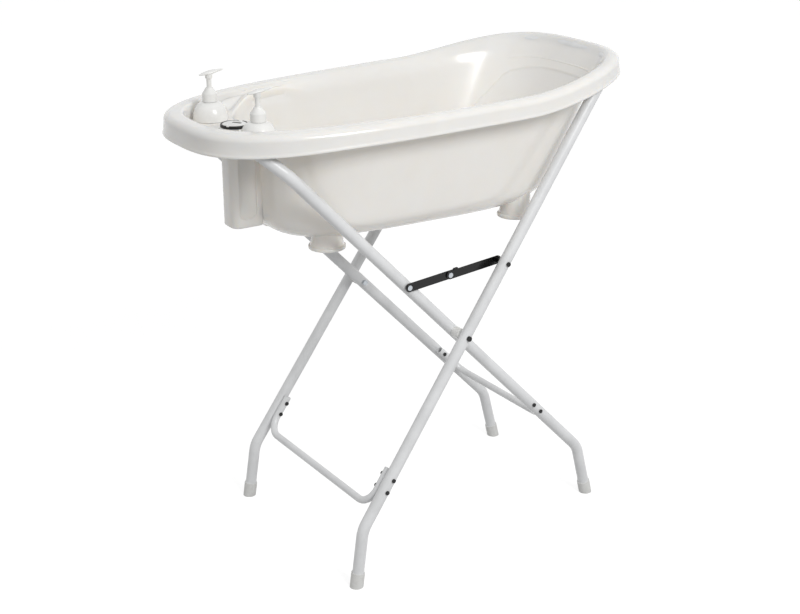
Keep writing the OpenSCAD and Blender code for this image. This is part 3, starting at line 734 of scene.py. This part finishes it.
    def mouth_rows(self) -> list[Points]:
        """Rings over the rim's edge, down the recess, across the shelf and over its edge."""
        base_z = self.base_h + self.skin
        lip = self.lip_ring
        rows = [lip(-24, 0.3)]
        rows += [lip(-31.5 - 6 * math.sin(t), 0.2 - 6 * (1 - math.cos(t)))
                 for t in arc(0, 90, 8)]
        heel = lip(-40, 0)
        rim = self.rim_z(self.body_plan(1.0, 0)[:, 0])
        share = (rim - self.shelf_drop - base_z) / (rim - self.wall_drop - base_z)
        edge = self.body_plan(share, self.skin)
        run = edge - heel[:, :2]
        width, along = np.linalg.norm(run, axis=1), unit(run)
        edge_r, heel_r = np.minimum(8.0, width / 2.2), np.minimum(6.0, width / 4)
        for t in np.radians([0, 25, 50, 70, 90]):
            rows.append(self.on_shelf(heel[:, :2] + along * (heel_r * (1 - math.cos(t)))[:, None],
                                      heel_r * (1 - math.sin(t))))
        first = heel[:, :2] + along * heel_r[:, None]
        last = edge - along * edge_r[:, None]
        rows += [self.on_shelf(first + (last - first) * s, 0.0)
                 for s in np.linspace(0, 1, 10)[1:-1]]
        rows += [self.on_shelf(edge - along * (edge_r * (1 - math.sin(t)))[:, None],
                               -edge_r * (1 - math.cos(t)))
                 for t in np.radians([0, 18, 36, 54, 72, 90])]
        return rows

    def on_shelf(self, xy: Points, up: Points | float) -> Points:
        """Points at xy, lying up above the shelf's floor."""
        return np.column_stack([xy, self.rim_z(xy[:, 0]) - self.drop(xy[:, 0]) + up])

    def shell(self) -> Surface:
        """The tub's skin as one closed surface, from under its bottom, out over the rim and in
        to its floor. Each ring is a row; every point of a ring is a column."""
        side = self.body_ring(1.0, 0.0, self.base_h)
        rim = self.rim_z(side[:, 0])
        low = self.lip_ring(1 - self.rim_top_w, 0)
        high = self.lip_ring(self.skin - self.rim_top_w, 0)
        shelf = smooth(np.linalg.norm(side[:, :2] - high[:, :2], axis=1) / 30)
        under = self.skin + self.drop(side[:, 0])
        top = (rim - under - self.base_h) / (rim - self.wall_drop - self.base_h)
        rings = self.bottom_rings(0.0)
        start = self.base_r / (self.rim_h - self.base_h)
        rings += [self.body_ring(s * top, 0.0, self.base_h)
                  for s in np.linspace(start, self.wall_top, 15)]
        # Up to the shelf's underside, out along it, and up the recess's wall to the rim
        rows = [self.body_ring(s * top, 0.0, self.base_h) for s in np.linspace(0.9, 1, 6)]
        root = rows[-1]
        rows += [self.settled(root + (low - root) * s, under)
                 for s in (0.03, 0.2, 0.4, 0.6, 0.8, 1)]
        rows.append(self.settled(high, np.full(len(under), self.skin)))
        rings += self.eased(self.lip_ring(-19, -self.skin), -self.skin, 0.0, self.base_h,
                            rows[::-1], shelf)[::-1]
        rings += self.lip_rows()
        inner_z = self.base_h + self.skin
        rings.append(self.lip_ring(-19, 0.3))
        rings += self.eased(rings[-1], 0.3, self.skin, inner_z, self.mouth_rows(), shelf)
        rings += self.inner_wall(rings[-1][:, 2])
        rings += self.bottom_rings(self.skin)[::-1]
        return loft(rings)

    def settled(self, points: Points, drop: Points) -> Points:
        """The same places, lying drop under the rim's height there."""
        return np.column_stack([points[:, :2], self.rim_z(points[:, 0]) - drop])

    # ---- what is moulded on
    def foot(self, x: float, y: float) -> Surface:
        """One foot: a boss with a flange round its underside, cut to the bottom's skin."""
        r, up = self.foot_d / 2, self.base_h - self.foot_h
        outline = [(0, 0), (r + 4, 0), (r + 4, 6), (r + 0.5, 7.5), (r - 1.5, 16),
                   (r - 1.5, up + self.base_r), (0, up + self.base_r)]
        boss = lathe(rounded(outline, [0, 1.2, 1.5, 2, 4, 0, 0])).at(x, y, self.foot_h)
        middle = self.skin / 2
        core = self.bottom_rings(middle)
        core += [self.body_ring(f, middle, self.base_h + middle) for f in (0.3, 0.5)]
        return surface_of(combined(boss, [], [loft(core)], "foot"))

    def column(self) -> Surface:
        """The hollow column under the shelf: its plan is a rectangle whose two outer corners are
        rounded, and it spreads a little where it meets the shelf."""
        half, face, root, r = self.column_w / 2, -self.column_face, -338.0, 18.0
        t = arc(0, 90, 13)
        rear = np.stack([face + r - r * np.sin(t), half - r + r * np.cos(t)], -1)
        front = np.stack([face + r - r * np.cos(t), -half + r - r * np.sin(t)], -1)
        outline = np.concatenate([[[root, half]], rear, front, [[root, -half]]])
        middle = np.array([[-365.0, 0.0]])
        low, high = self.column_base_h, self.seat_z - 2
        levels = [(low, -5), (low + 0.6, -2.4), (low + 2.2, -0.8), (low + 5, 0), (high - 22, 0),
                  (high - 13, 0.5), (high - 7, 1.8), (high - 3, 4)]
        # Its plan reaches some 30 mm from its middle, and grows by d mm at each level.
        return loft([flat_ring(middle + (outline - middle) * (1 + d / 30), z) for z, d in levels])

    def channel(self, side: Side) -> Surface:
        """The arched channel pressed into one face of the column."""
        t, r, low_r = arc(0, 180, 25), self.channel_r, 12.0
        x = np.concatenate([r * np.cos(t), -r * np.cos(t)])
        mid_z = (self.channel_top + self.channel_low) / 2
        z = np.concatenate([self.channel_top - mid_z + r * np.sin(t),
                            self.channel_low - mid_z - low_r * np.sin(t)])
        y = side.value * self.column_w / 2
        made = loft([np.stack([self.channel_x + x * s, np.full_like(x, y + side.value * d),
                               mid_z + z * s], -1)
                     for s, d in ((0.9, -3), (0.97, -2.4), (1.0, -0.5), (1.04, 3))])
        return made if side is Side.FRONT else made.reversed()

    def build(self) -> None:
        """Makes the tub in the place of its CAD node."""
        shelf, sink, clear = self.seat_z, -4.0, 30.0
        dome_r, well_r, mouth_r = self.dome_d / 2 + 1, self.well_d / 2, self.mouth_d / 2
        seats = [lathe(rounded([(0, sink), (r + 3, sink), (r + 3, -0.8), (r, top), (0, top)],
                               [0, 0, 1.5, 1.5, 0])).at(x, y, shelf)
                 for x, y, r, top in ((self.well_x, self.well_y, dome_r, 0.0),
                                      (self.well_x, -self.well_y, dome_r, 0.0),
                                      (self.mouth_x, 0.0, self.lid_seat_d / 2, self.lid_rise))]
        deep, cup_r, wall, mouth_deep = self.well_depth, 24.0, 2.5, 170.0
        cup = lathe([(0, -deep - wall), (20.5, -deep - wall), (cup_r, -deep + 1), (cup_r, -3),
                     (0, -3)])
        bore = lathe([(0, -deep), (well_r - 2, -deep), (well_r, -deep + 2), (well_r, clear),
                      (0, clear)])
        wells = [(self.well_x, side.value * self.well_y, shelf) for side in Side]
        feet = [self.foot(x, side.value * y) for x, y in self.foot_places for side in Side]
        mouth = lathe([(0, -mouth_deep), (mouth_r - 4, -mouth_deep), (mouth_r, -20),
                       (mouth_r, clear), (0, clear)]).at(self.mouth_x, 0, shelf)
        mesh = combined(self.shell(),
                        [self.column(), *seats, *(cup.at(*place) for place in wells), *feet],
                        [*(bore.at(*place) for place in wells), mouth,
                         *(self.channel(side) for side in Side)], "bath_tub_body")
        piece("tub_shell", mesh, self.finishes.tub, "tub", ["bath_tub"], 30)


# ---------------------------------------------------------------- dispensers and lid


@dataclass
class Dispenser:
    """A pump dispenser: bottle, screw collar, pump chamber and pump head. Sizes are in mm."""

    finishes: Finishes
    side: Side
    x: float = -379.0
    y: float = 102.0
    seat_z: float = 942.83
    dome_d: float = 70.0
    dome_h: float = 37.0
    neck_d: float = 24.0
    collar_d: float = 30.0
    collar_h: float = 28.0
    flutes: int = 36
    flute_depth: float = 0.28
    stem_l: float = 26.0
    stem_d: float = 10.0
    stem_in: float = 11.0
    tilt: float = 8.0
    leaf_back: float = 20.0
    leaf_l: float = 52.0
    leaf_half_w: float = 8.8
    leaf_half_t: float = 3.5
    leaf_power: float = 2.4

    def placed(self, surface: Surface, z: float = 0.0) -> Surface:
        """A surface moved over the dispenser's well, z above its seat."""
        return surface.at(self.x, self.side.value * self.y, self.seat_z + z)

    def bottle(self) -> Surface:
        """The bottle: a reservoir, a domed shoulder and a neck, as one turned outline."""
        r, neck, deep, foot_h = self.dome_d / 2, self.neck_d / 2, -29, 2
        dome = [(neck + (r - neck) * math.cos(a) ** 0.9,
                 foot_h + (self.dome_h - foot_h) * math.sin(a)) for a in arc(4, 86, 22)]
        outline = [(0, deep), (19, deep), (21, deep + 2), (21, -1), (21.6, 0), (r - 0.8, 0),
                   (r, 0.8), (r, 1.8)]
        top = self.dome_h + 0.6 * self.collar_h - 1
        inside = neck - 1.8
        return lathe([*outline, *dome, (neck, self.dome_h), (neck, top), (inside, top),
                      (inside, self.dome_h - 2), (0, self.dome_h - 2)], 96)

    def collar(self) -> Surface:
        """The screw collar: a straight band under a cone that closes round the stem, its band
        gripped by shallow flutes."""
        r, h, tip = self.collar_d / 2, self.collar_h, self.stem_d / 2 + 2.5
        outline = [(0, 0.3), (r - 0.5, 0.3), (r, 1), (r, h * 0.58), (r - 1.4, h * 0.63),
                   (tip + 1.2, h - 2.5), (tip, h), (0, h)]
        made = lathe(rounded(outline, [0, 0.5, 0.5, 1.5, 2.0, 2.0, 0.6, 0], 5), 144)
        x, y, z = made.points.T
        far = np.hypot(x, y)
        wave = 0.5 - 0.5 * np.cos(self.flutes * np.arctan2(y, x))
        flute = self.flute_depth * wave * (far > r - 0.3) * (z > 1.5)
        scale = 1 - np.divide(flute, far, out=np.zeros_like(far), where=far > 1)
        return Surface(np.column_stack([x * scale, y * scale, z]), made.faces)

    def head(self) -> tuple[Surface, Surface]:
        """The pump head: a leaf-shaped press plate with a drooping nozzle, on a skirt and stem.

        The plate's section at share s of its length is an ellipse whose half-width follows
        a leaf outline and whose thickness follows a slower one; its middle line rises by the
        head's tilt and droops to the nozzle's tip.
        """
        s, around = np.linspace(0, 1, 40), 36
        x = -self.leaf_back + self.leaf_l * s
        half_w = (self.leaf_half_w * np.sin(np.pi * np.clip(s * 0.94 + 0.03, 0, 1)) ** 0.62
                  * (1 - 0.52 * smooth((s - 0.5) / 0.4)))
        half_t = (self.leaf_half_t * np.sin(np.pi * np.clip(s * 0.95 + 0.025, 0, 1)) ** 0.5
                  * (1 - 0.22 * smooth((s - 0.45) / 0.4)))
        middle = (self.stem_l + 3.6 + x * math.tan(math.radians(self.tilt))
                  - 0.8 * smooth((s - 0.55) / 0.45) - 0.3 * smooth((0.3 - s) / 0.3))
        a = np.linspace(0, 2 * np.pi, around, endpoint=False)
        wide, tall = bulge(np.cos(a), self.leaf_power), bulge(np.sin(a), self.leaf_power)
        rings = np.stack([np.repeat(x[:, None], around, 1), half_w[:, None] * wide,
                          middle[:, None] + half_t[:, None] * tall], -1)
        stem, skirt = self.stem_d / 2, self.stem_d / 2 + 2.5
        turned = lathe(rounded([(0, -self.stem_in), (stem, -self.stem_in), (stem, 2),
                                (stem, self.stem_l - 8), (skirt - 0.4, self.stem_l - 7.6),
                                (skirt, self.stem_l + 3), (0, self.stem_l + 3)],
                               [0, 0.3, 0, 0.2, 0.5, 0, 0], 4))
        return loft(rings), turned

    def build(self) -> None:
        """Makes the dispenser's pieces in the places of their CAD nodes."""
        word, white = self.side.word, self.finishes.white
        body, pump = f"{word}_dispenser", f"{word}_pump"
        piece(f"{word}_soap_bottle", self.placed(self.bottle()), white, body,
              [f"{word}_dispenser_bottle"])
        piece(f"{word}_screw_collar", self.placed(self.collar(), self.dome_h), white, body,
              [f"{word}_dispenser_collar"])
        leaf, skirt = (self.placed(part, self.dome_h + self.collar_h) for part in self.head())
        mesh = combined(leaf, [skirt], [], f"{word}_press_head")
        piece(f"{word}_press_head", mesh, white, pump, [f"{word}_pump_head"], 40)
        dress(f"{word}_pump_chamber", self.finishes.clear)


@dataclass
class WellLid:
    """The lid over the column's mouth, with its seal. Sizes are in mm."""

    finishes: Finishes
    x: float = -378.0
    z: float = 949.83
    lid_d: float = 48.0
    mouth_d: float = 40.0
    seal_w: float = 3.5
    seal_h: float = 5.8
    lug_angle: float = 33.0
    slot_off: float = 9.0

    def placed(self, surface: Surface, turn: float = 0.0) -> Surface:
        """A surface moved onto the column's mouth, turned by some degrees about its axis."""
        c, s = math.cos(math.radians(turn)), math.sin(math.radians(turn))
        return surface.moved([[c, -s, 0], [s, c, 0], [0, 0, 1]], [self.x, 0.0, self.z])

    def slab(self, half_x: float, half_y: float, levels: Sequence[tuple[float, float]],
             middle: float = 0.0) -> Surface:
        """A block with a squared-off oval plan, scaled at each (share, height) level."""
        t = np.linspace(0, 2 * np.pi, 48, endpoint=False)
        plan = np.stack([half_x * bulge(np.cos(t), 4), half_y * bulge(np.sin(t), 4)], -1)
        return loft([flat_ring(plan * s + [middle, 0], z) for s, z in levels])

    def build(self) -> None:
        """Makes the lid and its seal in the places of their CAD nodes."""
        r, skirt = self.lid_d / 2, self.mouth_d / 2 - 0.5
        lid = lathe(rounded([(0, -12), (skirt, -12), (skirt, 0), (r, 0), (r, 5.2), (r - 1.6, 6),
                             (r - 5, 5.2), (r - 8, 5.2), (0, 5.6)],
                            [0, 1, 0.3, 0.4, 0.7, 0.7, 1.5, 1.5, 0], 5), 96)
        lug = self.slab(r + self.seal_w, 4.2, [(0.98, 4.2), (1, 4.6), (1, 5.6), (0.98, 6)])
        core = lathe([(0, 4.0), (r - 5, 4.0), (r - 5, 8), (0, 8)])
        slot = self.slab(4.2, 11.0, [(0.95, 2.8), (1.0, 3.2), (1.0, 5), (1.06, 9)], self.slot_off)
        ends = combined(self.placed(lug, self.lug_angle), [], [self.placed(core)], "lugs")
        mesh = combined(self.placed(lid), [surface_of(ends)],
                        [self.placed(slot, self.lug_angle)], "lid")
        piece("column_lid", mesh, self.finishes.white, "lid", ["well_lid"])
        a = np.linspace(0, 2 * np.pi, 96, endpoint=False)
        w, h = self.seal_w, self.seal_h
        section = [(0.1, 0.2), (0.3, 0), (w - 0.2, 0), (w, 0.3), (w, 4.6), (2.7, h), (0.8, h),
                   (0.1, 5.2)]
        circle = np.stack([np.cos(a), np.sin(a)], -1)
        rings = [flat_ring((r + d) * circle, z) for d, z in section]
        ring = self.placed(loft([*rings, rings[0]], poles=False))
        notch = self.slab(r + 8, 4.4, [(1, 4.1), (1, 9)])
        pad = self.slab(3.9, 10.7, [(0.96, 2.9), (1, 3.2), (1, 4.6), (0.9, 5.2)], self.slot_off)
        ring = surface_of(combined(ring, [], [self.placed(notch, self.lug_angle)], "ring"))
        mesh = combined(ring, [self.placed(pad, self.lug_angle)], [], "gasket")
        piece("lid_gasket", mesh, self.finishes.seal, "lid", ["lid_seal"], 50)


# ---------------------------------------------------------------- stand


@dataclass
class Stand:
    """The folding stand: two bent tube frames, crossbars, feet, pivots and braces."""

    finishes: Finishes

    def build(self) -> None:
        """Dresses the stand's CAD nodes."""
        made = self.finishes
        for node in ("inner_frame_tube", "outer_frame_tube", "inner_crossbar", "outer_crossbar"):
            dress(node, made.powder)
        for node in ("inner_crossbar_screws", "outer_crossbar_screws"):
            dress(node, made.enamel)
        for side in Side:
            for end in ("inner", "outer"):
                dress(f"{side.word}_{end}_foot_cap", made.caps)
            dress(f"{side.word}_pivot_spacer", made.white)
            for node in ("brace_rivet", "knuckle_rivet", "pivot_nut"):
                dress(f"{side.word}_{node}", made.zinc)
            for node in ("short_link", "long_link", "brace_bolt", "brace_head", "pivot_bolt"):
                dress(f"{side.word}_{node}", made.enamel)


# ---------------------------------------------------------------- studio


@dataclass
class Studio:
    """A plain pale floor, soft lights and a camera where the photograph was taken from."""

    azimuth: float = -33.31
    elevation: float = 21.0
    distance: float = 3.1344
    target: tuple[float, float, float] = (0.0068, 0.0, 0.4926)
    lens: float = 64.25
    soft_light: float = 0.58
    floor_half: float = 30.0
    floor_lift: float = 0.735

    def camera(self) -> None:
        """Puts the camera at the photograph's angle."""
        data = bpy.data.cameras.new("camera")
        data.lens, data.sensor_width, data.clip_start, data.clip_end = self.lens, 36.0, 0.05, 100.0
        a, e = math.radians(self.azimuth), math.radians(self.elevation)
        back = np.array([math.sin(a) * math.cos(e), -math.cos(a) * math.cos(e), math.sin(e)])
        bpy.context.scene.camera = self.aimed(
            "camera", data, np.array(self.target) + self.distance * back, -back)

    def aimed(self, name: str, data: bpy.types.ID, place: Sequence[float],
              along: Sequence[float]) -> bpy.types.Object:
        """A camera or lamp in its place, looking along a direction."""
        made = linked(name, data)
        made.location = place
        made.rotation_mode = "QUATERNION"
        made.rotation_quaternion = Vector(along).to_track_quat("-Z", "Y")
        return made

    def shown_white(self, tree: bpy.types.NodeTree) -> Socket:
        """A factor of 1 for rays that show the background: camera, mirrored and refracted."""
        path = add_node(tree, "LightPath")
        two = add_node(tree, "Math", {0: path.outputs["Is Camera Ray"],
                       1: path.outputs["Is Glossy Ray"]}, operation="MAXIMUM")
        three = add_node(tree, "Math", {0: two.outputs[0],
                         1: path.outputs["Is Transmission Ray"]}, operation="MAXIMUM")
        return three.outputs[0]

    def world(self) -> None:
        """A white world to the camera, and a soft even light for the object."""
        made = bpy.data.worlds.new("studio")
        bpy.context.scene.world = made
        tree = emptied(made)
        light, seen = (add_node(tree, "Background", {
            "Color": linear("FFFFFF"), "Strength": level}) for level in (self.soft_light, 1.0))
        mixed = add_node(tree, "MixShader", {0: self.shown_white(tree),
                         1: light.outputs[0], 2: seen.outputs[0]})
        add_node(tree, "OutputWorld", {"Surface": mixed.outputs[0]})

    def floor(self) -> None:
        """A wide matt floor that keeps the object's shadow and is white elsewhere."""
        half = self.floor_half
        mesh = bpy.data.meshes.new("studio_floor")
        mesh.from_pydata([(-half, -half, 0), (half, -half, 0), (half, half, 0), (-half, half, 0)],
                         [], [(0, 1, 2, 3)])
        made = linked("studio_floor", mesh)
        material = bpy.data.materials.new("Studio_paper")
        tree = emptied(material)
        paper = add_node(tree, "BsdfDiffuse", {"Color": linear("B4B4B4")})
        lift = add_node(tree, "Emission", {
            "Color": linear("FFFFFF"), "Strength": self.floor_lift})
        dark = add_node(tree, "Emission", {"Color": linear("000000"), "Strength": 0.0})
        chosen = add_node(tree, "MixShader", {0: self.shown_white(tree),
                          1: dark.outputs[0], 2: lift.outputs[0]})
        both = add_node(tree, "AddShader", {0: paper.outputs[0], 1: chosen.outputs[0]})
        add_node(tree, "OutputMaterial", {"Surface": both.outputs[0]})
        mesh.materials.append(material)

    def lamp(self, name: str, place: Sequence[float], aim: Sequence[float], size: float,
             power: float) -> None:
        """Adds a square soft light.

        Args:
            name: the lamp's name.
            place: where it hangs, in metres.
            aim: the point that it faces.
            size: the length of its side, in metres.
            power: its power in watts.
        """
        data = bpy.data.lights.new(name, "AREA")
        data.energy, data.size = power, size
        self.aimed(name, data, place, Vector(aim) - Vector(place))

    def build(self) -> None:
        """Sets up the studio."""
        self.camera()
        self.world()
        self.floor()
        self.lamp("key_softbox", (0.1, -2.9, 2.7), (0, 0, 0.8), size=1.1, power=56)
        self.lamp("overhead_softbox", (-0.3, 0.3, 3.4), (0, 0, 0.6), size=2.4, power=2)
        bpy.context.scene.view_settings.view_transform = "Standard"


def main() -> None:
    """Builds the object and the studio, in order."""
    logging.basicConfig(level=logging.INFO, format="%(message)s")
    finishes = Finishes()
    BathTub(finishes).build()
    for side in Side:
        Dispenser(finishes, side).build()
    WellLid(finishes).build()
    Stand(finishes).build()
    Studio().build()


if __name__ == "__main__":
    main()
